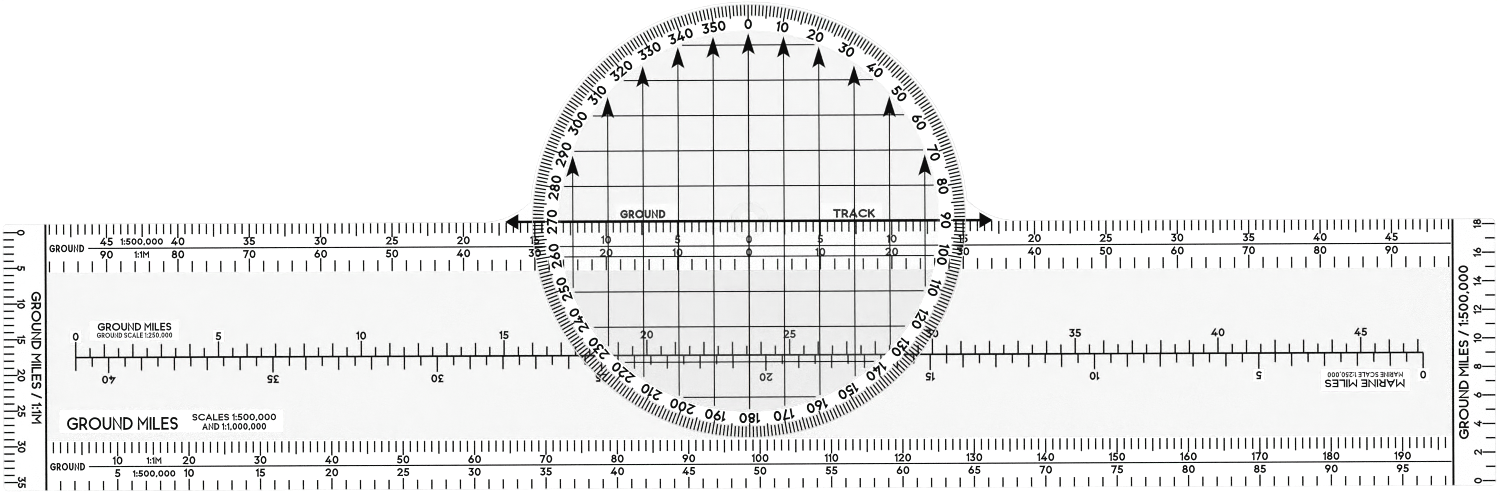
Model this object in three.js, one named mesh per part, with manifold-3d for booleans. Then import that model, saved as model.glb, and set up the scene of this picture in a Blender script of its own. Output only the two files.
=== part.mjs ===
// Rotating azimuth plotter for navigation charts: a clear straight blade with a round hump, and a
// clear compass disc that turns on it. Millimetres, +X along the blade towards its right end, +Y across
// it towards the hump, +Z out of the readable face. The origin is the pivot's centre on the underside.
import * as THREE from "three";
import { mergeVertices } from "three/addons/utils/BufferGeometryUtils.js";
import Module from "manifold-3d";

const wasm = await Module();
wasm.setup();

// ---- driving dimensions ------------------------------------------------------------------------
const INCH = 25.4;
const BLADE_LENGTH = 13.25 * INCH;
const BLADE_WIDTH = 2.375 * INCH;
const BLADE_THICKNESS = 1.5;
const BLADE_CORNER = 1.0;
const HUMP_RADIUS = 49.5;
const FLANK_RADIUS = 16.0; // hollow curve from the upper edge into the hump
const FLANK_START = 60.5; // where that curve leaves the upper edge
const EDGE_CHAMFER = 0.15;

const DISC_RADIUS = 48.9;
const DISC_THICKNESS = 0.8;
const DISC_GAP = 0.1; // air between the blade and the disc
const DISC_CHAMFER = 0.1;

const SHAFT_RADIUS = 2.0;
const SHAFT_CLEARANCE = 0.08;
const FLANGE_RADIUS = 4.5;
const FLANGE_POCKET_RADIUS = 4.7;
const FLANGE_POCKET_DEPTH = 0.45;
const WASHER_THICKNESS = 0.13;
const WASHER_BORE_RADIUS = 2.2;
const AXIAL_PLAY = 0.02;
const CAP_RADIUS = 4.0;
const CAP_THICKNESS = 0.4;
const CAP_POCKET_RADIUS = 4.2;
const CAP_POCKET_DEPTH = 0.45;
const SPIGOT_RADIUS = 1.0;
const SPIGOT_LENGTH = 0.25;

const INK = 0.05; // thickness of a printed layer on the blade, flush in its recess
const DISC_INK = 0.02; // thickness of one printed layer under the disc
const BAND_HEIGHT = 11.0; // clear scale band along each long edge
const LOWER_BAND_TOP = 49.0; // distance of the lower band's upper limit from the upper edge
const END_LINE_X = 158.6;
const END_LINE_WIDTH = 0.5;
const SCALE_LINE_WIDTH = 0.32;
const SCALE_LINE_START = 149.0; // both edge scales' lines start here, left of the centre
const SCALE_LINE_END_GAP = 0.15; // and stop this far short of the right end line
const UPPER_LINE_Y = -5.6;
const LOWER_LINE_Y = -54.8;
const MID_LINE_Y = -30.2;
const MID_LINE_WIDTH = 0.42;
const NAUTICAL_MILE = 1852000;
const MID_LINE_LENGTH = (41 * NAUTICAL_MILE) / 250000; // 41 nautical miles at 1:250,000
const COURSE_HALF_LENGTH = 55.0;
const COURSE_GAP = 4.4; // the course line stops this far from the centre, clear of the cap
const COURSE_WIDTH = 0.68;
const COURSE_HEAD_LENGTH = 3.05;
const COURSE_HEAD_WIDTH = 3.6;
const FIELD_MARGIN = 0.05; // clear line round whatever is left out of a printed field
const PRINT_HIGH = -EDGE_CHAMFER - FIELD_MARGIN; // the print keeps off the chamfered edges
const PRINT_LOW = -BLADE_WIDTH + EDGE_CHAMFER + FIELD_MARGIN;
const END_LINE_INNER = END_LINE_X - END_LINE_WIDTH / 2;
const FIELD_SIDE = END_LINE_INNER - FIELD_MARGIN; // the grounds reach this far from the centre
const COURSE_CLEARANCE = 0.1; // the upper band's ground keeps this far off the course line

const NUMBER_BAND_INNER = 43.05;
const NUMBER_BAND_OUTER = 46.0;
const DISC_FIELD_RADIUS = 42.8;
const GRID_RADIUS = 42.4;
const GRID_PITCH = (5 / 16) * INCH;
const GRID_STEPS = 5; // lines each side of the centre line
const GRID_WIDTH = 0.27;
const GRID_CENTRE_WIDTH = 0.32;
const GRID_HEAD_LENGTH = 4.85;
const GRID_HEAD_WIDTH = 3.0;
const GRID_HEAD_NOTCH = 0.9;
const CROSS_LINE_INSET = 0.004; // the cross lines are this much thinner on each face than the uprights

const HUMP_SEGMENTS = 96;
const FLANK_SEGMENTS = 10;
const CORNER_SEGMENTS = 4;
const DISC_SEGMENTS = 144;
const PIVOT_SEGMENTS = 64;
const OVERCUT = 1.0; // how far a cutter runs past the face it cuts

// ---- materials ---------------------------------------------------------------------------------
const clearPlastic = new THREE.MeshStandardMaterial({
  color: 0xf2f5f7,
  roughness: 0.08,
  metalness: 0,
  transparent: true,
  opacity: 0.35,
});
const clearDisc = clearPlastic.clone();
const clearPivot = clearPlastic.clone();
const washerFilm = new THREE.MeshStandardMaterial({ color: 0xe9ecee, roughness: 0.3, metalness: 0 });
const greyField = new THREE.MeshStandardMaterial({ color: 0xd9dbdc, roughness: 0.6, metalness: 0 });
const whiteInk = new THREE.MeshStandardMaterial({ color: 0xfafafa, roughness: 0.5, metalness: 0 });
const blackInk = new THREE.MeshStandardMaterial({ color: 0x0b0b0c, roughness: 0.5, metalness: 0 });

// ---- solids ------------------------------------------------------------------------------------
function toSolid(geometry) {
  const bare = geometry.clone();
  bare.deleteAttribute("normal");
  bare.deleteAttribute("uv");
  const merged = mergeVertices(bare, 1e-4);
  const mesh = new wasm.Mesh({
    numProp: 3,
    vertProperties: Float32Array.from(merged.attributes.position.array),
    triVerts: Uint32Array.from(merged.index.array),
  });
  return new wasm.Manifold(mesh);
}

function toGeometry(solid) {
  const mesh = solid.getMesh();
  const geometry = new THREE.BufferGeometry();
  geometry.setAttribute("position", new THREE.BufferAttribute(mesh.vertProperties, 3));
  geometry.setIndex(new THREE.BufferAttribute(mesh.triVerts, 1));
  geometry.computeVertexNormals();
  return geometry;
}

function joined(solids) {
  return solids.reduce((sum, solid) => sum.add(solid));
}

// A flat outline raised from z0 to z1, with an optional chamfer that keeps the outline's size.
function plate(shape, z0, z1, chamfer = 0) {
  const geometry = new THREE.ExtrudeGeometry(shape, {
    depth: z1 - z0 - 2 * chamfer,
    bevelEnabled: chamfer > 0,
    bevelThickness: chamfer,
    bevelSize: chamfer,
    bevelOffset: -chamfer,
    bevelSegments: 1,
  });
  return geometry.translate(0, 0, z0 + chamfer);
}

// A solid turned about the pivot's axis from [radius, height] points.
function turned(points, segments) {
  const profile = points.map(([radius, height]) => new THREE.Vector2(radius, height));
  return new THREE.LatheGeometry(profile, segments).rotateX(Math.PI / 2);
}

function cylinder(radius, z0, z1, segments = PIVOT_SEGMENTS) {
  return turned([[0, z0], [radius, z0], [radius, z1], [0, z1]], segments);
}

function ring(inner, outer, z0, z1, segments = PIVOT_SEGMENTS) {
  return turned([[inner, z0], [outer, z0], [outer, z1], [inner, z1], [inner, z0]], segments);
}

function rectangle(x0, y0, x1, y1) {
  const corners = [[x0, y0], [x1, y0], [x1, y1], [x0, y1]];
  return corners.map(([x, y]) => new THREE.Vector2(x, y));
}

function bar(x0, y0, x1, y1) {
  return new THREE.Shape(rectangle(x0, y0, x1, y1));
}

// ---- outlines ----------------------------------------------------------------------------------
// Where the hollow flank on the right meets the hump: the crossing of the two circles.
function flankMeetsHump() {
  const centre = new THREE.Vector2(FLANK_START, FLANK_RADIUS);
  const reach = centre.length();
  const along = (HUMP_RADIUS ** 2 - FLANK_RADIUS ** 2 + reach ** 2) / (2 * reach);
  const aside = Math.sqrt(HUMP_RADIUS ** 2 - along ** 2);
  const unit = centre.clone().normalize();
  return new THREE.Vector2(unit.x * along + unit.y * aside, unit.y * along - unit.x * aside);
}

// Points along an arc, both ends included; the angle runs from start to end either way round.
function arc(x, y, radius, start, end, segments) {
  const points = [];
  for (let i = 0; i <= segments; i += 1) {
    const angle = start + ((end - start) * i) / segments;
    points.push(new THREE.Vector2(x + radius * Math.cos(angle), y + radius * Math.sin(angle)));
  }
  return points;
}

function bladeOutline() {
  const right = BLADE_LENGTH / 2 - BLADE_CORNER;
  const low = -BLADE_WIDTH + BLADE_CORNER;
  const high = -BLADE_CORNER;
  const meet = flankMeetsHump();
  const humpAngle = Math.atan2(meet.y, meet.x);
  const flankEnd = Math.atan2(meet.y - FLANK_RADIUS, meet.x - FLANK_START);
  const quarter = Math.PI / 2;
  return new THREE.Shape([
    ...arc(right, low, BLADE_CORNER, -quarter, 0, CORNER_SEGMENTS),
    ...arc(right, high, BLADE_CORNER, 0, quarter, CORNER_SEGMENTS),
    ...arc(FLANK_START, FLANK_RADIUS, FLANK_RADIUS, -quarter, flankEnd, FLANK_SEGMENTS),
    ...arc(0, 0, HUMP_RADIUS, humpAngle, Math.PI - humpAngle, HUMP_SEGMENTS).slice(1, -1),
    ...arc(-FLANK_START, FLANK_RADIUS, FLANK_RADIUS, -Math.PI - flankEnd, -quarter, FLANK_SEGMENTS),
    ...arc(-right, high, BLADE_CORNER, quarter, 2 * quarter, CORNER_SEGMENTS),
    ...arc(-right, low, BLADE_CORNER, 2 * quarter, 3 * quarter, CORNER_SEGMENTS),
  ]);
}

// One half of the course line, from a start near the pivot out to its solid arrowhead, grown all round
// by a clearance if one is asked for; side is -1 or 1.
function courseOutline(side, start, grow = 0) {
  const tip = COURSE_HALF_LENGTH + 2 * grow;
  const neck = COURSE_HALF_LENGTH - COURSE_HEAD_LENGTH - grow;
  const half = COURSE_WIDTH / 2 + grow;
  const wide = COURSE_HEAD_WIDTH / 2 + 2 * grow;
  const upperEdge = [[tip, 0], [neck, wide], [neck, half], [start, half]];
  const lowerEdge = [[start, -half], [neck, -half], [neck, -wide]];
  return new THREE.Shape([...lowerEdge, ...upperEdge].map(([x, y]) => new THREE.Vector2(side * x, side * y)));
}

// One upright grid line with its solid arrowhead at the top; the head has a hollow base.
function gridArrow(x, reach, width) {
  const base = reach - GRID_HEAD_LENGTH;
  const half = width / 2;
  const wide = GRID_HEAD_WIDTH / 2;
  const rightSide = [[half, -reach], [half, base + GRID_HEAD_NOTCH], [wide, base], [0, reach]];
  const leftSide = rightSide.slice(0, -1).reverse().map(([dx, y]) => [-dx, y]);
  return new THREE.Shape([...rightSide, ...leftSide].map(([dx, y]) => new THREE.Vector2(x + dx, y)));
}

// White grounds behind the printed captions, as [x0, y0, x1, y1]; the last two lie on the hump.
const CAPTION_GROUNDS = {
  caption_ground_scales: [-155.5, -47.15, -105.2, -42.1],
  caption_ground_statute: [-148.7, -26.35, -128.7, -21.95],
  caption_ground_nautical: [128.9, -38.8, 148.8, -34.0],
  caption_ground_course_left: [-30.0, 0.55, -16.2, 4.0],
  caption_ground_course_right: [16.2, 0.55, 30.0, 4.0],
};

function greyFieldOutline() {
  const shape = bar(-FIELD_SIDE, -LOWER_BAND_TOP, FIELD_SIDE, -BAND_HEIGHT - FIELD_MARGIN);
  const grounds = Object.values(CAPTION_GROUNDS).filter((box) => box[3] < -BAND_HEIGHT);
  for (const box of [...grounds, midLineBox()]) {
    shape.holes.push(slotRound(box));
  }
  return shape;
}

// A hole a little larger than a box, for an outline that something else is printed in.
function slotRound([x0, y0, x1, y1]) {
  const gap = FIELD_MARGIN;
  return new THREE.Path(rectangle(x0 - gap, y0 - gap, x1 + gap, y1 + gap).reverse());
}

// The white ground of a scale band, open round the scale's long line.
function bandOutline(low, high, lineY) {
  const shape = bar(-FIELD_SIDE, low, FIELD_SIDE, high);
  shape.holes.push(slotRound(scaleLineBox(lineY)));
  return shape;
}

function midLineBox() {
  const half = MID_LINE_LENGTH / 2;
  return [-half, MID_LINE_Y - MID_LINE_WIDTH / 2, half, MID_LINE_Y + MID_LINE_WIDTH / 2];
}

function scaleLineBox(y) {
  const end = END_LINE_INNER - SCALE_LINE_END_GAP;
  return [-SCALE_LINE_START, y - SCALE_LINE_WIDTH / 2, end, y + SCALE_LINE_WIDTH / 2];
}

function endLineBox(side) {
  const x = side * END_LINE_X;
  const half = END_LINE_WIDTH / 2;
  return [x - half, PRINT_LOW, x + half, PRINT_HIGH];
}

// ---- the clear pieces --------------------------------------------------------------------------
// The print lies in a shallow recess of the underside, so the blade rests on the plain plastic round it.
function makeBlade() {
  const body = toSolid(plate(bladeOutline(), 0, BLADE_THICKNESS, EDGE_CHAMFER));
  const printSide = END_LINE_X + END_LINE_WIDTH / 2;
  const humpBoxes = Object.values(CAPTION_GROUNDS).filter((box) => box[1] > 0);
  const recesses = [
    bar(-printSide, PRINT_LOW, printSide, PRINT_HIGH),
    courseOutline(-1, COURSE_GAP),
    courseOutline(1, COURSE_GAP),
    ...humpBoxes.map((box) => bar(...box)),
  ];
  const cutters = [
    cylinder(SHAFT_RADIUS + SHAFT_CLEARANCE, -OVERCUT, BLADE_THICKNESS + OVERCUT),
    cylinder(FLANGE_POCKET_RADIUS, BLADE_THICKNESS - FLANGE_POCKET_DEPTH, BLADE_THICKNESS + OVERCUT),
    cylinder(CAP_POCKET_RADIUS, -OVERCUT, CAP_POCKET_DEPTH),
    ...recesses.map((shape) => plate(shape, -OVERCUT, INK)),
  ];
  return toGeometry(cutters.reduce((rest, cutter) => rest.subtract(toSolid(cutter)), body));
}

// The upper band's ground stops round the pivot's cap and along the course line, whose cutters start
// inside the cap's pocket so that no strip is left between them.
function makeUpperGround() {
  const ground = toSolid(plate(bandOutline(-BAND_HEIGHT, PRINT_HIGH, UPPER_LINE_Y), 0, INK));
  const cutters = [
    cylinder(CAP_POCKET_RADIUS, -OVERCUT, INK + OVERCUT),
    plate(courseOutline(-1, CAP_RADIUS, COURSE_CLEARANCE), -OVERCUT, INK + OVERCUT),
    plate(courseOutline(1, CAP_RADIUS, COURSE_CLEARANCE), -OVERCUT, INK + OVERCUT),
  ];
  return toGeometry(cutters.reduce((rest, cutter) => rest.subtract(toSolid(cutter)), ground));
}

function makeLowerGround() {
  return plate(bandOutline(PRINT_LOW, -LOWER_BAND_TOP - FIELD_MARGIN, LOWER_LINE_Y), 0, INK);
}

const discBottom = BLADE_THICKNESS + DISC_GAP;
const discTop = discBottom + DISC_THICKNESS;

function makeDisc() {
  const chamfered = DISC_RADIUS - DISC_CHAMFER;
  const points = [
    [0, discBottom],
    [chamfered, discBottom],
    [DISC_RADIUS, discBottom + DISC_CHAMFER],
    [DISC_RADIUS, discTop - DISC_CHAMFER],
    [chamfered, discTop],
    [0, discTop],
  ];
  return turned(points, DISC_SEGMENTS);
}

const washerBottom = BLADE_THICKNESS - FLANGE_POCKET_DEPTH;
const flangeBottom = washerBottom + WASHER_THICKNESS + AXIAL_PLAY;

// Spigot, shaft and flange in one; the flange's top is bonded to the disc's printed underside.
function makeStud() {
  const flangeTop = discBottom - 2 * DISC_INK;
  const spigotEnd = CAP_THICKNESS - SPIGOT_LENGTH;
  const points = [
    [0, spigotEnd],
    [SPIGOT_RADIUS, spigotEnd],
    [SPIGOT_RADIUS, CAP_THICKNESS],
    [SHAFT_RADIUS, CAP_THICKNESS],
    [SHAFT_RADIUS, flangeBottom],
    [FLANGE_RADIUS, flangeBottom],
    [FLANGE_RADIUS, flangeTop],
    [0, flangeTop],
  ];
  return turned(points, PIVOT_SEGMENTS);
}

function makeWasher() {
  return ring(WASHER_BORE_RADIUS, FLANGE_RADIUS, washerBottom, washerBottom + WASHER_THICKNESS);
}

// A plain cap with a blind socket for the stud's spigot; its lower face is flush with the underside.
function makeCap() {
  const socketFloor = CAP_THICKNESS - SPIGOT_LENGTH;
  const points = [
    [0, 0],
    [CAP_RADIUS, 0],
    [CAP_RADIUS, CAP_THICKNESS],
    [SPIGOT_RADIUS, CAP_THICKNESS],
    [SPIGOT_RADIUS, socketFloor],
    [0, socketFloor],
  ];
  return turned(points, PIVOT_SEGMENTS);
}

// ---- the printed layers ------------------------------------------------------------------------
// The grid's uprights are printed straight on the disc; the grey field and the white number band lie
// behind it.
function makeGrid() {
  const z0 = discBottom - DISC_INK;
  const z1 = discBottom;
  const solids = [];
  for (let step = -GRID_STEPS; step <= GRID_STEPS; step += 1) {
    const offset = step * GRID_PITCH;
    const reach = Math.sqrt(GRID_RADIUS ** 2 - offset ** 2);
    const uprightWidth = step === 0 ? GRID_CENTRE_WIDTH : GRID_WIDTH;
    const crossWidth = step === 0 ? COURSE_WIDTH : GRID_WIDTH; // as bold as the course line it is set to
    solids.push(toSolid(plate(gridArrow(offset, reach, uprightWidth), z0, z1)));
    const cross = bar(-reach, offset - crossWidth / 2, reach, offset + crossWidth / 2);
    solids.push(toSolid(plate(cross, z0 + CROSS_LINE_INSET, z1 - CROSS_LINE_INSET)));
  }
  return toGeometry(joined(solids));
}

function discGround(inner, outer) {
  const z1 = discBottom - DISC_INK;
  return ring(inner, outer, z1 - DISC_INK, z1, DISC_SEGMENTS);
}

const bladePrints = {
  blade_grey_field: [plate(greyFieldOutline(), 0, INK), greyField],
  upper_band_ground: [makeUpperGround(), whiteInk],
  lower_band_ground: [makeLowerGround(), whiteInk],
  end_line_left: [plate(bar(...endLineBox(-1)), 0, INK), blackInk],
  end_line_right: [plate(bar(...endLineBox(1)), 0, INK), blackInk],
  course_line_left: [plate(courseOutline(-1, COURSE_GAP), 0, INK), blackInk],
  course_line_right: [plate(courseOutline(1, COURSE_GAP), 0, INK), blackInk],
  upper_scale_line: [plate(bar(...scaleLineBox(UPPER_LINE_Y)), 0, INK), blackInk],
  middle_scale_line: [plate(bar(...midLineBox()), 0, INK), blackInk],
  lower_scale_line: [plate(bar(...scaleLineBox(LOWER_LINE_Y)), 0, INK), blackInk],
};
for (const [name, box] of Object.entries(CAPTION_GROUNDS)) {
  bladePrints[name] = [plate(bar(...box), 0, INK), whiteInk];
}

// ---- the assembly ------------------------------------------------------------------------------
function named(name, geometry, material) {
  const mesh = new THREE.Mesh(geometry, material);
  mesh.name = name;
  return mesh;
}

const bladeGroup = new THREE.Group();
bladeGroup.add(named("base_blade", makeBlade(), clearPlastic));
bladeGroup.add(named("spacer_washer", makeWasher(), washerFilm));
for (const [name, [geometry, ink]] of Object.entries(bladePrints)) {
  bladeGroup.add(named(name, geometry, ink));
}

const discGroup = new THREE.Group();
discGroup.add(named("azimuth_disc", makeDisc(), clearDisc));
discGroup.add(named("pivot_stud", makeStud(), clearPivot));
discGroup.add(named("retainer_cap", makeCap(), clearPivot));
discGroup.add(named("disc_grid", makeGrid(), blackInk));
discGroup.add(named("disc_grey_field", discGround(FLANGE_RADIUS, DISC_FIELD_RADIUS), greyField));
discGroup.add(named("azimuth_number_band", discGround(NUMBER_BAND_INNER, NUMBER_BAND_OUTER), whiteInk));

const plotter = new THREE.Group();
plotter.add(bladeGroup, discGroup);

export default plotter;
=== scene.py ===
"""The look of a rotating azimuth plotter: a clear blade with printed chart scales, and a clear compass
disc that turns on it. Metres, in the frame of the CAD model: +X along the blade, +Y towards the hump,
+Z out of the readable face, with the origin at the pivot's centre on the underside."""

import math

import bmesh
import bpy
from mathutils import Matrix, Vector


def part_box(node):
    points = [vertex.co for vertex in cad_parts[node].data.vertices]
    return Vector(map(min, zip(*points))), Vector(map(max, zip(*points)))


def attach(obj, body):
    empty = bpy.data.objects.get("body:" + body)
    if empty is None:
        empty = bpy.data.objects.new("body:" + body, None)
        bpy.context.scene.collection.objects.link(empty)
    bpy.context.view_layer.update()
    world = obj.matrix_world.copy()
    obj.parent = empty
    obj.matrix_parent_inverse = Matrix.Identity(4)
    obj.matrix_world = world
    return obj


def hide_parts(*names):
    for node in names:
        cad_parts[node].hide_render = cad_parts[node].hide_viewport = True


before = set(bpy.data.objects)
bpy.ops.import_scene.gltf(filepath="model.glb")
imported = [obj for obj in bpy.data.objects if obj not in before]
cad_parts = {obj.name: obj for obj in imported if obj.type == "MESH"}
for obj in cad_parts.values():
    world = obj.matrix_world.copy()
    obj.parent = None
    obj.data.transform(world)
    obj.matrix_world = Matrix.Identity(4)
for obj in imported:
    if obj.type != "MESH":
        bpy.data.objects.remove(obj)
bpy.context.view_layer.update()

MM = 0.001

# ---- sizes from the frame ---------------------------------------------------------------------
blade_low, blade_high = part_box("base_blade")
disc_low, disc_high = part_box("azimuth_disc")
BLADE_HALF_LENGTH = blade_high.x
BLADE_WIDTH = -blade_low.y
HUMP_RADIUS = blade_high.y
BLADE_TOP = blade_high.z
DISC_RADIUS = disc_high.x
DISC_BOTTOM = disc_low.z
DISC_TOP = disc_high.z

# ---- sizes that the frame's boxes don't give --------------------------------------------------
FLANK_RADIUS = 16.0 * MM  # hollow curve from the upper edge into the hump
FLANK_START = 60.5 * MM
CORNER_RADIUS = 1.0 * MM
EDGE_ROUND = 0.2 * MM
BORE_CLEARANCE = 0.08 * MM
POCKET_CLEARANCE = 0.2 * MM
SPIGOT_RADIUS = 1.0 * MM
SPIGOT_END = 0.15 * MM
SHAFT_RADIUS = 2.0 * MM

# Heights of the printed layers above the underside of the sheet they are printed on. Seen from above,
# the black ink lies over the white grounds, and these lie over the grey fields.
GREY_LAYER = (0.030 * MM, 0.040 * MM)
WHITE_LAYER = (0.050 * MM, 0.060 * MM)
BLACK_LAYER = (0.070 * MM, 0.085 * MM)

# One mile on charts of each scale.
LAND_MILE = 1609.344
SEA_MILE = 1852.0
MILE_500K = LAND_MILE / 500_000
MILE_1M = LAND_MILE / 1_000_000
LAND_250K = LAND_MILE / 250_000
SEA_250K = SEA_MILE / 250_000

TICK_WIDTH = 0.36 * MM
DEGREE_TICK_WIDTH = 0.33 * MM
COURSE_WIDTH = 0.62 * MM
COURSE_HEAD_LENGTH = 3.05 * MM
NUMBER_HEIGHT = 1.85 * MM


# ---- meshes -----------------------------------------------------------------------------------
def new_object(name, mesh):
    obj = bpy.data.objects.new(name, mesh)
    bpy.context.scene.collection.objects.link(obj)
    return obj


def apply_modifiers(obj):
    """Makes the result of obj's modifiers its mesh."""
    graph = bpy.context.evaluated_depsgraph_get()
    before = obj.data
    obj.data = bpy.data.meshes.new_from_object(obj.evaluated_get(graph))
    obj.modifiers.clear()
    bpy.data.meshes.remove(before)


def smooth(obj):
    """Smooth shading on rounds and flat shading on flats, with sharp creases kept."""
    obj.data.shade_smooth()
    obj.data.set_sharp_from_angle(angle=math.radians(35))
    modifier = obj.modifiers.new("flats", "WEIGHTED_NORMAL")
    modifier.keep_sharp = True
    modifier.weight = 100
    apply_modifiers(obj)
    return obj


def lathe(name, profile, steps=192):
    """A closed solid turned about Z from (radius, height) points that start and end on the axis."""
    mesh = bmesh.new()
    rings = []
    for radius, height in profile:
        if radius == 0:
            rings.append([mesh.verts.new((0, 0, height))])
            continue
        turn = [2 * math.pi * i / steps for i in range(steps)]
        rings.append([mesh.verts.new((radius * math.cos(a), radius * math.sin(a), height)) for a in turn])
    for low, high in zip(rings, rings[1:]):
        for i in range(steps):
            j = (i + 1) % steps
            corners = [low[i % len(low)], low[j % len(low)], high[j % len(high)], high[i % len(high)]]
            mesh.faces.new(list(dict.fromkeys(corners)))
    bmesh.ops.recalc_face_normals(mesh, faces=mesh.faces)
    data = bpy.data.meshes.new(name)
    mesh.to_mesh(data)
    mesh.free()
    return new_object(name, data)


def arc(centre_x, centre_y, radius, start, end, steps):
    """Points along an arc from one angle to another in degrees, both ends included."""
    angles = [math.radians(start + (end - start) * i / steps) for i in range(steps + 1)]
    return [(centre_x + radius * math.cos(a), centre_y + radius * math.sin(a)) for a in angles]


def blade_outline():
    """The blade's outline, anticlockwise from its lower right corner."""
    reach = math.hypot(FLANK_START, FLANK_RADIUS)
    along = (HUMP_RADIUS**2 - FLANK_RADIUS**2 + reach**2) / (2 * reach)
    aside = math.sqrt(HUMP_RADIUS**2 - along**2)
    meet_x = (FLANK_START * along + FLANK_RADIUS * aside) / reach
    meet_y = (FLANK_RADIUS * along - FLANK_START * aside) / reach
    hump_angle = math.degrees(math.atan2(meet_y, meet_x))
    flank_angle = math.degrees(math.atan2(meet_y - FLANK_RADIUS, meet_x - FLANK_START))
    right = BLADE_HALF_LENGTH - CORNER_RADIUS
    low = -BLADE_WIDTH + CORNER_RADIUS
    points = arc(right, low, CORNER_RADIUS, -90, 0, 8)
    points += arc(right, -CORNER_RADIUS, CORNER_RADIUS, 0, 90, 8)
    points += arc(FLANK_START, FLANK_RADIUS, FLANK_RADIUS, -90, flank_angle, 20)
    points += arc(0, 0, HUMP_RADIUS, hump_angle, 180 - hump_angle, 180)[1:-1]
    points += arc(-FLANK_START, FLANK_RADIUS, FLANK_RADIUS, -180 - flank_angle, -90, 20)
    points += arc(-right, -CORNER_RADIUS, CORNER_RADIUS, 90, 180, 8)
    points += arc(-right, low, CORNER_RADIUS, 180, 270, 8)
    return points


def cut(obj, cutters):
    """Takes the cutters out of obj for good, and removes them."""
    for cutter in cutters:
        modifier = obj.modifiers.new("cut", "BOOLEAN")
        modifier.object = cutter
        modifier.operation = "DIFFERENCE"
        modifier.solver = "EXACT"
    apply_modifiers(obj)
    for cutter in cutters:
        bpy.data.meshes.remove(cutter.data)


def make_blade():
    """The clear blade with rounded edges and the stepped bore of the pivot."""
    mesh = bmesh.new()
    base = mesh.faces.new([mesh.verts.new((x, y, 0)) for x, y in blade_outline()])
    top = bmesh.ops.extrude_face_region(mesh, geom=[base])
    moved = [v for v in top["geom"] if isinstance(v, bmesh.types.BMVert)]
    bmesh.ops.translate(mesh, vec=(0, 0, BLADE_TOP), verts=moved)
    bmesh.ops.recalc_face_normals(mesh, faces=mesh.faces)
    rims = [e for e in mesh.edges if abs(e.verts[0].co.z - e.verts[1].co.z) < EDGE_ROUND / 10]
    bmesh.ops.bevel(mesh, geom=rims, offset=EDGE_ROUND, segments=3, profile=0.5, affect="EDGES")
    data = bpy.data.meshes.new("clear_blade")
    mesh.to_mesh(data)
    mesh.free()
    blade = new_object("clear_blade", data)
    washer_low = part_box("spacer_washer")[0]
    cap_low, cap_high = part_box("retainer_cap")
    beyond = 1.0 * MM
    flange_pocket = -washer_low.x + POCKET_CLEARANCE
    cap_pocket = cap_high.x + POCKET_CLEARANCE
    cap_pocket_top = cap_high.z + 0.05 * MM
    bore = SHAFT_RADIUS + BORE_CLEARANCE
    profile = [
        (0, -beyond),
        (cap_pocket, -beyond),
        (cap_pocket, cap_pocket_top),
        (bore, cap_pocket_top),
        (bore, washer_low.z),
        (flange_pocket, washer_low.z),
        (flange_pocket, BLADE_TOP + beyond),
        (0, BLADE_TOP + beyond),
    ]
    cut(blade, [lathe("pivot_cutter", profile)])
    return blade


def edge_finish(sheet, edge_material, inner_radius):
    """Gives a sheet's rim its cut-edge finish: every face beyond inner_radius that doesn't lie flat."""
    sheet.data.materials.append(edge_material)
    for face in sheet.data.polygons:
        if abs(face.normal.z) < 0.999 and face.center.xy.length > inner_radius:
            face.material_index = 1


def make_disc():
    """The clear disc with a rounded rim."""
    r, edge = DISC_RADIUS, EDGE_ROUND
    low = [(r + x, DISC_BOTTOM + y) for x, y in arc(-edge, edge, edge, -90, 0, 4)]
    high = [(r + x, DISC_TOP + y) for x, y in arc(-edge, -edge, edge, 0, 90, 4)]
    return lathe("clear_disc", [(0, DISC_BOTTOM), *low, *high, (0, DISC_TOP)], steps=360)


def make_stud():
    """The clear stud: spigot, shaft and flange, its flange bonded under the disc."""
    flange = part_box("pivot_stud")[1]
    washer_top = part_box("spacer_washer")[1].z
    cap_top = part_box("retainer_cap")[1].z
    profile = [
        (0, SPIGOT_END),
        (SPIGOT_RADIUS, SPIGOT_END),
        (SPIGOT_RADIUS, cap_top),
        (SHAFT_RADIUS, cap_top),
        (SHAFT_RADIUS, washer_top + 0.02 * MM),
        (flange.x, washer_top + 0.02 * MM),
        (flange.x, flange.z),
        (0, flange.z),
    ]
    return lathe("clear_pivot_stud", profile, steps=128)


def make_cap():
    """The flush cap under the blade, with a rounded lower rim and a blind socket."""
    low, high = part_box("retainer_cap")
    gap = 0.01 * MM
    rim = [(high.x + x, y) for x, y in arc(-0.1 * MM, 0.1 * MM, 0.1 * MM, -90, 0, 3)]
    socket = SPIGOT_RADIUS + gap
    floor = SPIGOT_END - gap
    profile = [(0, low.z), *rim, (high.x, high.z - gap), (socket, high.z - gap), (socket, floor), (0, floor)]
    return lathe("clear_retainer_cap", profile, steps=128)


def make_washer():
    """The thin washer, a hair above the floor of the flange's pocket."""
    low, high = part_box("spacer_washer")
    inner = SHAFT_RADIUS + 0.2 * MM
    base = low.z + 0.01 * MM
    profile = [(0, base), (high.x, base), (high.x, high.z), (0, high.z)]
    hole = [(0, -high.z), (inner, -high.z), (inner, 2 * high.z), (0, 2 * high.z)]
    washer = lathe("clear_spacer_washer", profile, steps=128)
    cut(washer, [lathe("washer_cutter", hole, steps=128)])
    return washer


# ---- lettering --------------------------------------------------------------------------------
# Each sign is drawn along the middle of its strokes, from height 0 to 1, and gets its weight on top.
# A line's free ends reach half a stroke past their points, and a loop's last point runs to its first.
WEIGHT = 0.205
SIDE_SPACE = 0.05
WORD_SPACE = 0.30


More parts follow.
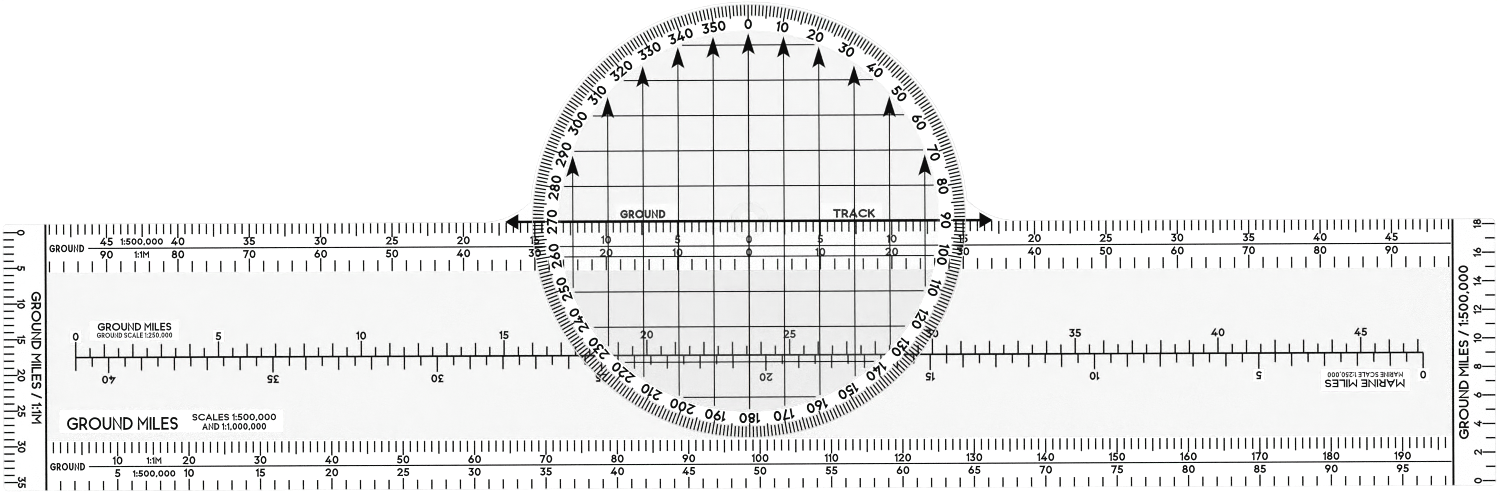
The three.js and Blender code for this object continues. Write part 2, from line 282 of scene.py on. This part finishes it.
def bow(x, y, width, height, start, end):
    """Points of an elliptical bow with half sizes width and height, between two angles in degrees."""
    steps = max(4, round(abs(end - start) / 18))
    angles = [math.radians(start + (end - start) * i / steps) for i in range(steps + 1)]
    return [(x + width * math.cos(a), y + height * math.sin(a)) for a in angles]


def loop(*points):
    return ("loop", list(points))


def line(*points):
    return ("line", list(points))


SIGNS = {
    "0": [loop(*bow(0.27, 0.5, 0.27, 0.5, 0, 342))],
    "1": [line((0.0, 0.84), (0.15, 1.0), (0.15, 0.0))],
    "2": [line(*bow(0.26, 0.73, 0.25, 0.27, 158, -38), (0.03, 0.0), (0.53, 0.0))],
    "3": [line((0.05, 1.0), (0.47, 1.0), (0.25, 0.58), *bow(0.24, 0.29, 0.25, 0.29, 68, -140))],
    "4": [line((0.38, 1.0), (0.0, 0.24), (0.58, 0.24)), line((0.42, 0.46), (0.42, 0.0))],
    "5": [line((0.46, 1.0), (0.12, 1.0), (0.08, 0.55), *bow(0.24, 0.29, 0.26, 0.29, 112, -142))],
    "6": [loop(*bow(0.26, 0.29, 0.26, 0.29, 0, 342)), line((0.05, 0.46), (0.33, 1.0))],
    "7": [line((0.0, 1.0), (0.48, 1.0), (0.16, 0.0))],
    "8": [loop(*bow(0.25, 0.765, 0.20, 0.235, 0, 342)), loop(*bow(0.25, 0.265, 0.25, 0.265, 0, 342))],
    "9": [loop(*bow(0.26, 0.71, 0.26, 0.29, 0, 342)), line((0.47, 0.54), (0.19, 0.0))],
    ":": [line((0.0, 0.02), (0.0, 0.04)), line((0.0, 0.60), (0.0, 0.62))],
    ",": [line((0.04, 0.02), (0.0, -0.10))],
    "/": [line((0.0, -0.04), (0.34, 1.04))],
    "A": [line((0.0, 0.0), (0.34, 1.0), (0.68, 0.0)), line((0.12, 0.28), (0.56, 0.28))],
    "C": [line(*bow(0.42, 0.5, 0.42, 0.5, 46, 314))],
    "D": [loop((0.0, 0.0), *bow(0.18, 0.5, 0.46, 0.5, -90, 90), (0.0, 1.0))],
    "E": [line((0.45, 1.0), (0.0, 1.0), (0.0, 0.0), (0.46, 0.0)), line((0.0, 0.51), (0.40, 0.51))],
    "G": [line(*bow(0.42, 0.5, 0.42, 0.5, 46, 322), (0.76, 0.47), (0.46, 0.47))],
    "I": [line((0.0, 0.0), (0.0, 1.0))],
    "K": [line((0.0, 0.0), (0.0, 1.0)), line((0.50, 1.0), (0.04, 0.42)), line((0.20, 0.60), (0.54, 0.0))],
    "L": [line((0.0, 1.0), (0.0, 0.0), (0.43, 0.0))],
    "M": [line((0.0, 0.0), (0.0, 1.0), (0.36, 0.42), (0.72, 1.0), (0.72, 0.0))],
    "N": [line((0.0, 0.0), (0.0, 1.0), (0.60, 0.0), (0.60, 1.0))],
    "O": [loop(*bow(0.45, 0.5, 0.45, 0.5, 0, 348))],
    "R": [
        line((0.0, 0.0), (0.0, 1.0), *bow(0.22, 0.69, 0.27, 0.31, 90, -90), (0.0, 0.38)),
        line((0.27, 0.38), (0.50, 0.0)),
    ],
    "S": [line(*bow(0.25, 0.755, 0.24, 0.245, 30, 255), *bow(0.25, 0.26, 0.25, 0.26, 78, -142))],
    "T": [line((0.0, 1.0), (0.58, 1.0)), line((0.29, 1.0), (0.29, 0.0))],
    "U": [line((0.0, 1.0), *bow(0.29, 0.34, 0.29, 0.34, 180, 360), (0.58, 1.0))],
}


def sign_span(sign):
    """The leftmost and rightmost point of a sign's strokes, without their weight."""
    xs = [x for _, points in SIGNS[sign] for x, _ in points]
    return min(xs), max(xs)


def words_widths(words, weight):
    """How much of the words' width grows with a stretch, and how much is weight and spacing."""
    drawn = [sign_span(sign) for sign in words if sign != " "]
    growing = sum(high - low for low, high in drawn) + WORD_SPACE * words.count(" ")
    return growing, len(drawn) * (weight + 2 * SIDE_SPACE) - 2 * SIDE_SPACE


# ---- print ------------------------------------------------------------------------------------
class Print:
    """Flat ink shapes of one layer, each a closed plate between two heights."""

    def __init__(self, layer, sheet_bottom=0.0):
        self.mesh = bmesh.new()
        self.bottom = sheet_bottom + layer[0]
        self.top = sheet_bottom + layer[1]

    def plate(self, points):
        """A filled shape from its outline, anticlockwise."""
        low = [self.mesh.verts.new((x, y, self.bottom)) for x, y in points]
        high = [self.mesh.verts.new((x, y, self.top)) for x, y in points]
        self.mesh.faces.new(high)
        self.mesh.faces.new(low[::-1])
        for i in range(len(points)):
            j = (i + 1) % len(points)
            self.mesh.faces.new((low[i], low[j], high[j], high[i]))

    def box(self, x0, y0, x1, y1):
        self.plate([(x0, y0), (x1, y0), (x1, y1), (x0, y1)])

    def upright(self, x, y0, y1, width=TICK_WIDTH):
        self.box(x - width / 2, min(y0, y1), x + width / 2, max(y0, y1))

    def level(self, y, x0, x1, width=TICK_WIDTH):
        self.box(min(x0, x1), y - width / 2, max(x0, x1), y + width / 2)

    def spoke(self, azimuth, inner, outer, width=DEGREE_TICK_WIDTH):
        """A tick on the compass rose; the azimuth runs clockwise from +Y, in degrees."""
        a = math.radians(azimuth)
        out = Vector((math.sin(a), math.cos(a)))
        side = Vector((out.y, -out.x)) * width / 2
        self.plate([out * inner - side, out * inner + side, out * outer + side, out * outer - side])

    def stroke(self, points, width, closed):
        """A band of even width along a path, with mitred corners and square ends."""
        n = len(points)
        path = [Vector(p) for p in points]
        rows = []
        for i, here in enumerate(path):
            before = path[i - 1] if closed or i > 0 else None
            after = path[(i + 1) % n] if closed or i < n - 1 else None
            into = (here - before).normalized() if before is not None else (after - here).normalized()
            onward = (after - here).normalized() if after is not None else into
            middle = (into + onward).normalized()
            across = Vector((-middle.y, middle.x))
            stretch = 1 / max(0.5, across.dot(Vector((-into.y, into.x))))
            shift = across * stretch * width / 2
            sides = [here - shift, here + shift]
            corners = [(point.x, point.y, z) for z in (self.bottom, self.top) for point in sides]
            rows.append([self.mesh.verts.new(corner) for corner in corners])
        for i in range(n if closed else n - 1):
            a, b = rows[i], rows[(i + 1) % n]
            self.mesh.faces.new((a[2], b[2], b[3], a[3]))
            self.mesh.faces.new((a[0], a[1], b[1], b[0]))
            self.mesh.faces.new((a[0], b[0], b[2], a[2]))
            self.mesh.faces.new((a[1], a[3], b[3], b[1]))
        if not closed:
            first, last = rows[0], rows[-1]
            self.mesh.faces.new((first[0], first[2], first[3], first[1]))
            self.mesh.faces.new((last[0], last[1], last[3], last[2]))

    def sign(self, sign, origin, right, up, weight):
        """One sign with its strokes' left side at origin, in units of the vectors right and up."""
        low = sign_span(sign)[0]
        width = weight * up.length
        for kind, points in SIGNS[sign]:
            path = [origin + right * (x - low) + up * (weight / 2 + y * (1 - weight)) for x, y in points]
            if kind == "line":
                path[0] += (path[0] - path[1]).normalized() * width / 2
                path[-1] += (path[-1] - path[-2]).normalized() * width / 2
            self.stroke(path, width, kind == "loop")

    def words(self, words, x, y, height, turn=0.0, length=None, weight=WEIGHT):
        """Lettering centred on a point, turned anticlockwise in degrees, as long as length if given."""
        words = str(words)
        growing, fixed = words_widths(words, weight)
        stretch = 1.0 if length is None else (length / height - fixed) / growing
        a = math.radians(turn)
        right = Vector((math.cos(a), math.sin(a))) * height
        up = Vector((-math.sin(a), math.cos(a))) * height
        pen = Vector((x, y)) - right * (growing * stretch + fixed) / 2 - up / 2
        for sign in words:
            if sign == " ":
                pen += right * WORD_SPACE * stretch
                continue
            low, high = sign_span(sign)
            self.sign(sign, pen + right * weight / 2, right * stretch, up, weight)
            pen += right * ((high - low) * stretch + weight + 2 * SIDE_SPACE)

    def build(self, name, material, body, replaced=()):
        data = bpy.data.meshes.new(name)
        self.mesh.to_mesh(data)
        self.mesh.free()
        piece = new_object(name, data)
        finish_piece(piece, material, body, replaced)
        return piece


def finish_piece(piece, material, body, replaced=()):
    """Gives a piece its material and body, and hides the CAD nodes that it replaces. No piece, not even the
    ink, casts a shadow.
    """
    piece.data.materials.clear()
    piece.data.materials.append(material)
    piece.visible_shadow = False
    piece.visible_diffuse = False
    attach(piece, body)
    if replaced:
        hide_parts(*replaced)


def new_material(name):
    material = bpy.data.materials.new(name)
    material.use_nodes = True
    nodes = material.node_tree.nodes
    return material, nodes, material.node_tree.links, nodes["Principled BSDF"]


def noise(nodes, links, scale, detail=3.0, stretch=(1, 1, 1)):
    """Noise in the object's own space; the scale is in features per metre."""
    place = nodes.new("ShaderNodeTexCoord")
    mapping = nodes.new("ShaderNodeMapping")
    mapping.inputs["Scale"].default_value = stretch
    texture = nodes.new("ShaderNodeTexNoise")
    texture.inputs["Scale"].default_value = scale
    texture.inputs["Detail"].default_value = detail
    links.new(place.outputs["Object"], mapping.inputs["Vector"])
    links.new(mapping.outputs["Vector"], texture.inputs["Vector"])
    return texture.outputs["Fac"]


def ramp(nodes, links, value, low, high, start=0.35, end=0.65):
    """Maps noise to the range between two numbers."""
    scaled = nodes.new("ShaderNodeMapRange")
    scaled.inputs["From Min"].default_value = start
    scaled.inputs["From Max"].default_value = end
    scaled.inputs["To Min"].default_value = low
    scaled.inputs["To Max"].default_value = high
    links.new(value, scaled.inputs["Value"])
    return scaled.outputs["Result"]


def bump(nodes, links, height, shader, strength, distance):
    node = nodes.new("ShaderNodeBump")
    node.inputs["Strength"].default_value = strength
    node.inputs["Distance"].default_value = distance
    links.new(height, node.inputs["Height"])
    links.new(node.outputs["Normal"], shader.inputs["Normal"])


def clear_plastic(name, tint, roughness, scratch_turn, ior=1.45):
    """Polished clear sheet with faint handling scratches."""
    material, nodes, links, shader = new_material(name)
    shader.inputs["Base Color"].default_value = (tint, tint, tint, 1)
    shader.inputs["Roughness"].default_value = roughness
    shader.inputs["IOR"].default_value = ior
    shader.inputs["Transmission Weight"].default_value = 1.0
    scratches = noise(nodes, links, 900, detail=2, stretch=(0.06, 1, 1) if scratch_turn else (1, 0.06, 1))
    links.new(ramp(nodes, links, scratches, 0.5 * roughness, 1.5 * roughness), shader.inputs["Roughness"])
    bump(nodes, links, scratches, shader, 0.01, 0.005 * MM)
    return material


def cut_edge(name):
    """A sawn and scraped edge: it scatters part of the light, so it reads pale grey, not clear."""
    material, nodes, links, shader = new_material(name)
    shader.inputs["Base Color"].default_value = (0.75, 0.75, 0.75, 1)
    shader.inputs["IOR"].default_value = 1.45
    shader.inputs["Transmission Weight"].default_value = 0.35
    saw_marks = noise(nodes, links, 2500, detail=2, stretch=(1, 1, 0.25))
    links.new(ramp(nodes, links, saw_marks, 0.28, 0.42), shader.inputs["Roughness"])
    bump(nodes, links, saw_marks, shader, 0.15, 0.01 * MM)
    return material


def washer_film():
    material, nodes, links, shader = new_material("slippery_washer_film")
    shader.inputs["Base Color"].default_value = (0.94, 0.94, 0.94, 1)
    shader.inputs["Alpha"].default_value = 0.04
    links.new(ramp(nodes, links, noise(nodes, links, 3000), 0.3, 0.45), shader.inputs["Roughness"])
    return material


def grey_field_ink(name, cover, shade):
    """A see-through grey film: a fine printed grain that takes a little light off what is behind it."""
    material, nodes, links, shader = new_material(name)
    shader.inputs["Base Color"].default_value = (shade, shade, shade, 1)
    shader.inputs["Alpha"].default_value = cover
    shader.inputs["Specular IOR Level"].default_value = 0.2
    grain = noise(nodes, links, 6000)
    links.new(ramp(nodes, links, grain, 0.5, 0.8), shader.inputs["Roughness"])
    bump(nodes, links, grain, shader, 0.1, 0.01 * MM)
    return material


def white_ground_ink():
    """Opaque white screen print with a faint cloudiness and a fine mesh grain."""
    material, nodes, links, shader = new_material("white_ground_ink")
    clouds = noise(nodes, links, 60)
    mix = nodes.new("ShaderNodeMix")
    mix.data_type = "RGBA"
    mix.inputs[6].default_value = (0.90, 0.90, 0.90, 1)
    mix.inputs[7].default_value = (0.94, 0.94, 0.94, 1)
    links.new(clouds, mix.inputs[0])
    links.new(mix.outputs[2], shader.inputs["Base Color"])
    grain = noise(nodes, links, 7000)
    links.new(ramp(nodes, links, grain, 0.45, 0.65), shader.inputs["Roughness"])
    bump(nodes, links, grain, shader, 0.1, 0.01 * MM)
    return material


def black_line_ink():
    """Dense black screen print, bonded to the sheet, so that it mirrors nothing of its own."""
    material, nodes, links, shader = new_material("black_line_ink")
    shader.inputs["Base Color"].default_value = (0.002, 0.002, 0.002, 1)
    shader.inputs["Specular IOR Level"].default_value = 0.0
    grain = noise(nodes, links, 5000)
    links.new(ramp(nodes, links, grain, 0.35, 0.55), shader.inputs["Roughness"])
    bump(nodes, links, grain, shader, 0.08, 0.01 * MM)
    return material


BLADE_PLASTIC = clear_plastic("clear_blade_plastic", 0.992, 0.02, scratch_turn=True)
DISC_PLASTIC = clear_plastic("clear_disc_plastic", 0.992, 0.02, scratch_turn=False)
# The pivot's index is lower than a real plastic's, to keep its faces as faint as they look from above.
PIVOT_PLASTIC = clear_plastic("clear_pivot_plastic", 0.998, 0.02, scratch_turn=False, ior=1.2)
BLADE_EDGE = cut_edge("cut_blade_edge")
DISC_EDGE = cut_edge("cut_disc_edge")
WASHER_FILM = washer_film()
GREY = grey_field_ink("grey_blade_ink", 0.225, 0.72)
DISC_GREY = grey_field_ink("grey_disc_ink", 0.04, 0.60)
WHITE = white_ground_ink()
BLACK = black_line_ink()

# ---- the clear pieces -------------------------------------------------------------------------
blade = smooth(make_blade())
finish_piece(blade, BLADE_PLASTIC, "blade", ["base_blade"])
edge_finish(blade, BLADE_EDGE, HUMP_RADIUS - 1 * MM)
finish_piece(smooth(make_washer()), WASHER_FILM, "blade", ["spacer_washer"])
disc = smooth(make_disc())
finish_piece(disc, DISC_PLASTIC, "disc", ["azimuth_disc"])
edge_finish(disc, DISC_EDGE, DISC_RADIUS - 1 * MM)
finish_piece(smooth(make_stud()), PIVOT_PLASTIC, "disc", ["pivot_stud"])
finish_piece(smooth(make_cap()), PIVOT_PLASTIC, "disc", ["retainer_cap"])


# ---- print on the blade -----------------------------------------------------------------------
def node_box(node):
    low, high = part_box(node)
    return low.x, low.y, high.x, high.y


END_LINE_X = sum(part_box("end_line_right")[i].x for i in (0, 1)) / 2
PRINT_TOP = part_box("end_line_right")[1].y
PRINT_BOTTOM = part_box("end_line_right")[0].y
BAND_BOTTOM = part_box("upper_band_ground")[0].y
LOWER_BAND_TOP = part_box("lower_band_ground")[1].y
MIDDLE_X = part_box("middle_scale_line")[1].x
MIDDLE_Y = (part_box("middle_scale_line")[0].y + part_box("middle_scale_line")[1].y) / 2
UPPER_LINE_Y = (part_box("upper_scale_line")[0].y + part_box("upper_scale_line")[1].y) / 2
LOWER_LINE_Y = (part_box("lower_scale_line")[0].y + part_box("lower_scale_line")[1].y) / 2


def print_grounds():
    """The grey field and the white grounds that the scales and captions stand on."""
    grey = Print(GREY_LAYER)
    grey.box(*node_box("blade_grey_field"))
    grey.build("blade_field_print", GREY, "blade", ["blade_grey_field"])

    for side in ("upper", "lower"):
        band = Print(WHITE_LAYER)
        band.box(*node_box(f"{side}_band_ground"))
        band.build(f"{side}_band_print", WHITE, "blade", [f"{side}_band_ground"])

    for name in ("scales", "statute", "nautical", "course_left", "course_right"):
        ground = Print(WHITE_LAYER)
        ground.box(*node_box(f"caption_ground_{name}"))
        ground.build(f"caption_print_{name}", WHITE, "blade", [f"caption_ground_{name}"])


def print_course_line():
    """The bold line through the pivot, with a solid arrowhead at each end and its caption."""
    for side, name in ((-1, "left"), (1, "right")):
        low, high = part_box(f"course_line_{name}")
        tip = max(abs(low.x), abs(high.x))
        start = min(abs(low.x), abs(high.x))
        wide = high.y
        half = COURSE_WIDTH / 2
        neck = tip - COURSE_HEAD_LENGTH
        outline = [(start, -half), (neck, -half), (neck, -wide), (tip, 0)]
        outline += [(neck, wide), (neck, half), (start, half)]
        ink = Print(BLACK_LAYER)
        ink.plate([(side * x, side * y) for x, y in outline])
        ink.build(f"course_arrow_{name}", BLACK, "blade", [f"course_line_{name}"])
    caption = Print(BLACK_LAYER)
    caption.words("GROUND", -23.9 * MM, 1.65 * MM, 1.95 * MM, length=10.2 * MM, weight=0.235)
    caption.words("TRACK", 23.7 * MM, 1.65 * MM, 1.95 * MM, length=9.4 * MM, weight=0.235)
    caption.build("course_caption", BLACK, "blade")


def print_rules():
    """The two end lines and the long line of each edge scale."""
    for name in ("end_line_left", "end_line_right", "upper_scale_line", "lower_scale_line"):
        ink = Print(BLACK_LAYER)
        ink.box(*node_box(name))
        ink.build(f"{name}_print", BLACK, "blade", [name])


def print_upper_scale():
    """Land miles both ways from the pivot: 1:500,000 above the line and 1:1,000,000 below it."""
    above_y = UPPER_LINE_Y + 1.5 * MM
    below_y = UPPER_LINE_Y - 1.42 * MM
    ticks = Print(BLACK_LAYER)
    numbers = Print(BLACK_LAYER)
    for half_mile in range(-98, 99):
        x = half_mile * MILE_500K / 2
        depth = 3.1 * MM if half_mile % 5 == 0 else 2.5 * MM
        if half_mile % 10 == 0:
            depth = 3.35 * MM
        ticks.upright(x, PRINT_TOP, -depth)
    for mile in range(-49, 50):
        x = mile * MILE_500K
        start = 8.0 * MM if mile % 5 == 0 else 8.5 * MM
        ticks.upright(x, -start, BAND_BOTTOM)
        if mile % 5 == 0:
            numbers.words(abs(mile), x, above_y, NUMBER_HEIGHT)
            numbers.words(abs(mile) * 2, x, below_y, NUMBER_HEIGHT)
    ticks.build("upper_scale_ticks", BLACK, "blade")
    numbers.build("upper_scale_numbers", BLACK, "blade")
    labels = Print(BLACK_LAYER)
    labels.words("GROUND", -153.8 * MM, UPPER_LINE_Y, 1.75 * MM, length=7.9 * MM)
    labels.words("1:500,000", -136.9 * MM, above_y, 1.5 * MM, length=9.6 * MM, weight=0.23)
    labels.words("1:1M", -136.9 * MM, below_y, 1.5 * MM, weight=0.23)
    labels.build("upper_scale_labels", BLACK, "blade")


def print_lower_scale():
    """Land miles from the left end line: 1:1,000,000 above the line and 1:500,000 below it."""
    above_y = LOWER_LINE_Y + 1.35 * MM
    below_y = LOWER_LINE_Y - 1.5 * MM
    zero = -END_LINE_X
    ticks = Print(BLACK_LAYER)
    numbers = Print(BLACK_LAYER)
    for mile in range(1, 197):
        x = zero + mile * MILE_1M
        end = 51.8 * MM
        if mile % 5 == 0:
            end = 52.2 * MM
        if mile % 10 == 0:
            end = 52.5 * MM
            numbers.words(mile, x, above_y, NUMBER_HEIGHT)
        ticks.upright(x, LOWER_BAND_TOP - 0.2 * MM, -end)
    for mile in range(1, 99):
        x = zero + mile * MILE_500K
        start = 57.6 * MM if mile % 5 == 0 else 58.0 * MM
        ticks.upright(x, -start, PRINT_BOTTOM)
        if mile % 5 == 0:
            numbers.words(mile, x, below_y, NUMBER_HEIGHT)
    ticks.build("lower_scale_ticks", BLACK, "blade")
    numbers.build("lower_scale_numbers", BLACK, "blade")
    labels = Print(BLACK_LAYER)
    labels.words("GROUND", -153.8 * MM, LOWER_LINE_Y, 1.75 * MM, length=7.9 * MM)
    labels.words("1:1M", -134.3 * MM, above_y, 1.5 * MM, weight=0.23)
    labels.words("1:500,000", -134.3 * MM, below_y - 0.1 * MM, 1.5 * MM, length=9.6 * MM, weight=0.23)
    labels.build("lower_scale_labels", BLACK, "blade")


def print_middle_scale():
    """1:250,000: land miles from the left above the line, and sea miles from the right below it."""
    above_y = MIDDLE_Y + 4.7 * MM
    below_y = MIDDLE_Y - 5.0 * MM
    rule = Print(BLACK_LAYER)
    rule.box(*node_box("middle_scale_line"))
    numbers = Print(BLACK_LAYER)
    grounds = Print(WHITE_LAYER)

    def tick_length(half_mile):
        if half_mile % 10 == 0:
            return 3.55 * MM
        return 3.0 * MM if half_mile % 2 == 0 else 2.1 * MM

    def number(mile, x, y, turn):
        """A number, with a white ground behind it if it has one digit."""
        numbers.words(mile, x, y, NUMBER_HEIGHT, turn)
        if mile < 10:
            grounds.box(x - 1.2 * MM, y - 1.35 * MM, x + 1.2 * MM, y + 1.35 * MM)

    for half_mile in range(0, 95):
        x = -MIDDLE_X + half_mile * LAND_250K / 2
        rule.upright(x, MIDDLE_Y, MIDDLE_Y + tick_length(half_mile))
        if half_mile % 10 == 0:
            number(half_mile // 2, x, above_y, 0)
    for half_mile in range(0, 83):
        x = MIDDLE_X - half_mile * SEA_250K / 2
        rule.upright(x, MIDDLE_Y - tick_length(half_mile), MIDDLE_Y)
        if half_mile % 10 == 0:
            number(half_mile // 2, x, below_y, 180)
    rule.build("middle_scale_rule", BLACK, "blade", ["middle_scale_line"])
    numbers.build("middle_scale_numbers", BLACK, "blade")
    grounds.build("middle_number_grounds", WHITE, "blade")

    captions = Print(BLACK_LAYER)
    captions.words("GROUND MILES", -138.6 * MM, -23.3 * MM, 1.8 * MM, length=16.6 * MM, weight=0.20)
    captions.words("GROUND SCALE 1:250,000", -138.6 * MM, -25.2 * MM, 1.2 * MM, length=17.0 * MM, weight=0.20)
    captions.words("MARINE MILES", 138.7 * MM, -37.1 * MM, 1.8 * MM, 180, 18.0 * MM, weight=0.20)
    captions.words("MARINE SCALE 1:250,000", 138.8 * MM, -35.15 * MM, 1.2 * MM, 180, 17.0 * MM, weight=0.20)
    captions.build("middle_scale_captions", BLACK, "blade")


def print_main_caption():
    caption = Print(BLACK_LAYER)
    caption.words("GROUND MILES", -141.4 * MM, -45.1 * MM, 2.9 * MM, length=25.0 * MM, weight=0.16)
    caption.words("SCALES 1:500,000", -116.2 * MM, -43.75 * MM, 1.55 * MM, length=18.9 * MM, weight=0.21)
    caption.words("AND 1:1,000,000", -116.2 * MM, -45.85 * MM, 1.55 * MM, length=14.4 * MM, weight=0.21)
    caption.build("main_caption", BLACK, "blade")


def print_end_scales():
    """1:1,000,000 miles down the left end and 1:500,000 miles up the right end."""
    edge = BLADE_HALF_LENGTH - 0.06 * MM
    ticks = Print(BLACK_LAYER)
    numbers = Print(BLACK_LAYER)
    for mile in range(0, 36):
        y = -2.0 * MM - mile * MILE_1M
        length = 3.25 * MM if mile % 5 == 0 else 2.5 * MM
        ticks.level(y, -edge, -edge + length)
        if mile % 5 == 0:
            numbers.words(mile, -164.15 * MM, y, 1.8 * MM, turn=-90)
    ticks.build("left_end_ticks", BLACK, "blade")
    numbers.build("left_end_numbers", BLACK, "blade")

    ticks = Print(BLACK_LAYER)
    numbers = Print(BLACK_LAYER)
    for mile in range(0, 19):
        y = -59.15 * MM + mile * MILE_500K
        length = 3.05 * MM if mile % 2 == 0 else 2.3 * MM
        ticks.level(y, edge, edge - length)
        if mile % 2 == 0:
            numbers.words(mile, 164.15 * MM, y, 1.8 * MM, turn=90)
    ticks.build("right_end_ticks", BLACK, "blade")
    numbers.build("right_end_numbers", BLACK, "blade")

    captions = Print(BLACK_LAYER)
    captions.words("GROUND MILES / 1:1M", -160.75 * MM, -30.2 * MM, 2.25 * MM, -90, 29.8 * MM, weight=0.19)
    captions.words("GROUND MILES / 1:500,000", 161.0 * MM, -30.2 * MM, 2.25 * MM, 90, 39.2 * MM, weight=0.19)
    captions.build("end_scale_captions", BLACK, "blade")


print_grounds()
print_course_line()
print_rules()
print_upper_scale()
print_lower_scale()
print_middle_scale()
print_main_caption()
print_end_scales()

# ---- print on the disc ------------------------------------------------------------------------
GRID_PITCH = 5 / 16 * 25.4 * MM
GRID_STEPS = 5
GRID_WIDTH = 0.28 * MM
GRID_CENTRE_WIDTH = 0.32 * MM
HEAD_LENGTH = 4.85 * MM
HEAD_HALF_WIDTH = 1.5 * MM
HEAD_NOTCH = 0.9 * MM


def print_disc_grid():
    """Upright lines with arrowheads, and the cross lines, all ending on one circle."""
    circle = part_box("disc_grid")[1].y
    ink = Print(BLACK_LAYER, DISC_BOTTOM)
    for step in range(-GRID_STEPS, GRID_STEPS + 1):
        offset = step * GRID_PITCH
        reach = math.sqrt(circle**2 - offset**2)
        base = reach - HEAD_LENGTH
        half = (GRID_CENTRE_WIDTH if step == 0 else GRID_WIDTH) / 2
        right = [(half, -reach), (half, base + HEAD_NOTCH), (HEAD_HALF_WIDTH, base), (0, reach)]
        left = [(-x, y) for x, y in right[-2::-1]]
        ink.plate([(offset + x, y) for x, y in right + left])
    ink.build("disc_grid_uprights", BLACK, "disc", ["disc_grid"])
    ink = Print((BLACK_LAYER[0] - 0.008 * MM, BLACK_LAYER[1] - 0.008 * MM), DISC_BOTTOM)
    for step in range(-GRID_STEPS, GRID_STEPS + 1):
        offset = step * GRID_PITCH
        reach = math.sqrt(circle**2 - offset**2)
        ink.level(offset, -reach, reach, COURSE_WIDTH if step == 0 else GRID_WIDTH)
    ink.build("disc_grid_cross_lines", BLACK, "disc")


def print_disc_rose():
    """The degree ticks round the rim and the azimuth numbers inside them."""
    rim = DISC_RADIUS - EDGE_ROUND
    ticks = Print(BLACK_LAYER, DISC_BOTTOM)
    for azimuth in range(360):
        inner = 46.3 * MM
        if azimuth % 5 == 0:
            inner = 45.75 * MM
        if azimuth % 10 == 0:
            inner = 45.55 * MM
        ticks.spoke(azimuth, inner, rim)
    ticks.build("degree_ticks", BLACK, "disc")
    numbers = Print(BLACK_LAYER, DISC_BOTTOM)
    for azimuth in range(0, 360, 10):
        a = math.radians(azimuth)
        radius = 44.4 * MM
        numbers.words(azimuth, radius * math.sin(a), radius * math.cos(a), 2.35 * MM, -azimuth, weight=0.20)
    numbers.build("azimuth_numbers", BLACK, "disc")


def ring_points(radius, steps=240):
    return arc(0, 0, radius, 0, 360 * (steps - 1) / steps, steps - 1)


def print_disc_grounds():
    grey = Print(GREY_LAYER, DISC_BOTTOM)
    grey.plate(ring_points(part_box("disc_grey_field")[1].x))
    grey.build("disc_field_print", DISC_GREY, "disc", ["disc_grey_field"])
    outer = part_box("azimuth_number_band")[1].x
    inner = 43.05 * MM
    band = Print(WHITE_LAYER, DISC_BOTTOM)
    middle = (inner + outer) / 2
    band.stroke(ring_points(middle), outer - inner, closed=True)
    band.build("azimuth_band_print", WHITE, "disc", ["azimuth_number_band"])


print_disc_grid()
print_disc_rose()
print_disc_grounds()


# ---- floor, light and camera ------------------------------------------------------------------
def make_floor():
    data = bpy.data.meshes.new("floor")
    size = 3.0
    corners = [(-size, -size, 0), (size, -size, 0), (size, size, 0), (-size, size, 0)]
    data.from_pydata(corners, [], [(0, 1, 2, 3)])
    floor = new_object("floor", data)
    floor.location.z = -0.1 * MM
    material, nodes, links, shader = new_material("floor_paper")
    shader.inputs["Base Color"].default_value = (0.90, 0.90, 0.90, 1)
    shader.inputs["Roughness"].default_value = 0.9
    shader.inputs["Specular IOR Level"].default_value = 0.1
    data.materials.append(material)


def make_world():
    """A pale room that darkens towards the zenith, so the plastic mirrors no glare straight up."""
    world = bpy.data.worlds.new("studio")
    bpy.context.scene.world = world
    world.use_nodes = True
    nodes, links = world.node_tree.nodes, world.node_tree.links
    place = nodes.new("ShaderNodeTexCoord")
    split = nodes.new("ShaderNodeSeparateXYZ")
    fade = nodes.new("ShaderNodeValToRGB")
    fade.color_ramp.elements[0].position = 0.80
    fade.color_ramp.elements[0].color = (0.80, 0.80, 0.80, 1)
    fade.color_ramp.elements[1].position = 0.97
    fade.color_ramp.elements[1].color = (0.22, 0.22, 0.22, 1)
    links.new(place.outputs["Generated"], split.inputs["Vector"])
    links.new(split.outputs["Z"], fade.inputs["Fac"])
    links.new(fade.outputs["Color"], nodes["Background"].inputs["Color"])
    nodes["Background"].inputs["Strength"].default_value = 0.9


def make_sun(name, azimuth, elevation, energy):
    data = bpy.data.lights.new(name, "SUN")
    data.energy = energy
    data.angle = math.radians(30)
    lamp = bpy.data.objects.new(name, data)
    bpy.context.scene.collection.objects.link(lamp)
    lamp.rotation_euler = (math.radians(90 - elevation), 0, math.radians(azimuth))


def make_camera():
    """Straight above, a hair turned, with the whole blade filling the frame's width."""
    data = bpy.data.cameras.new("camera")
    data.type = "ORTHO"
    data.ortho_scale = 338.15 * MM
    camera = bpy.data.objects.new("camera", data)
    bpy.context.scene.collection.objects.link(camera)
    camera.location = (0.22 * MM, -5.97 * MM, 0.6)
    camera.rotation_euler = (0, 0, math.radians(-0.22))
    bpy.context.scene.camera = camera


make_floor()
make_world()
make_sun("key", 35, 50, 1.18)
make_sun("fill", -125, 50, 1.18)
make_camera()
bpy.context.scene.view_settings.view_transform = "Standard"
bpy.context.scene.view_settings.gamma = 0.8
bpy.context.scene.cycles.filter_width = 1.0
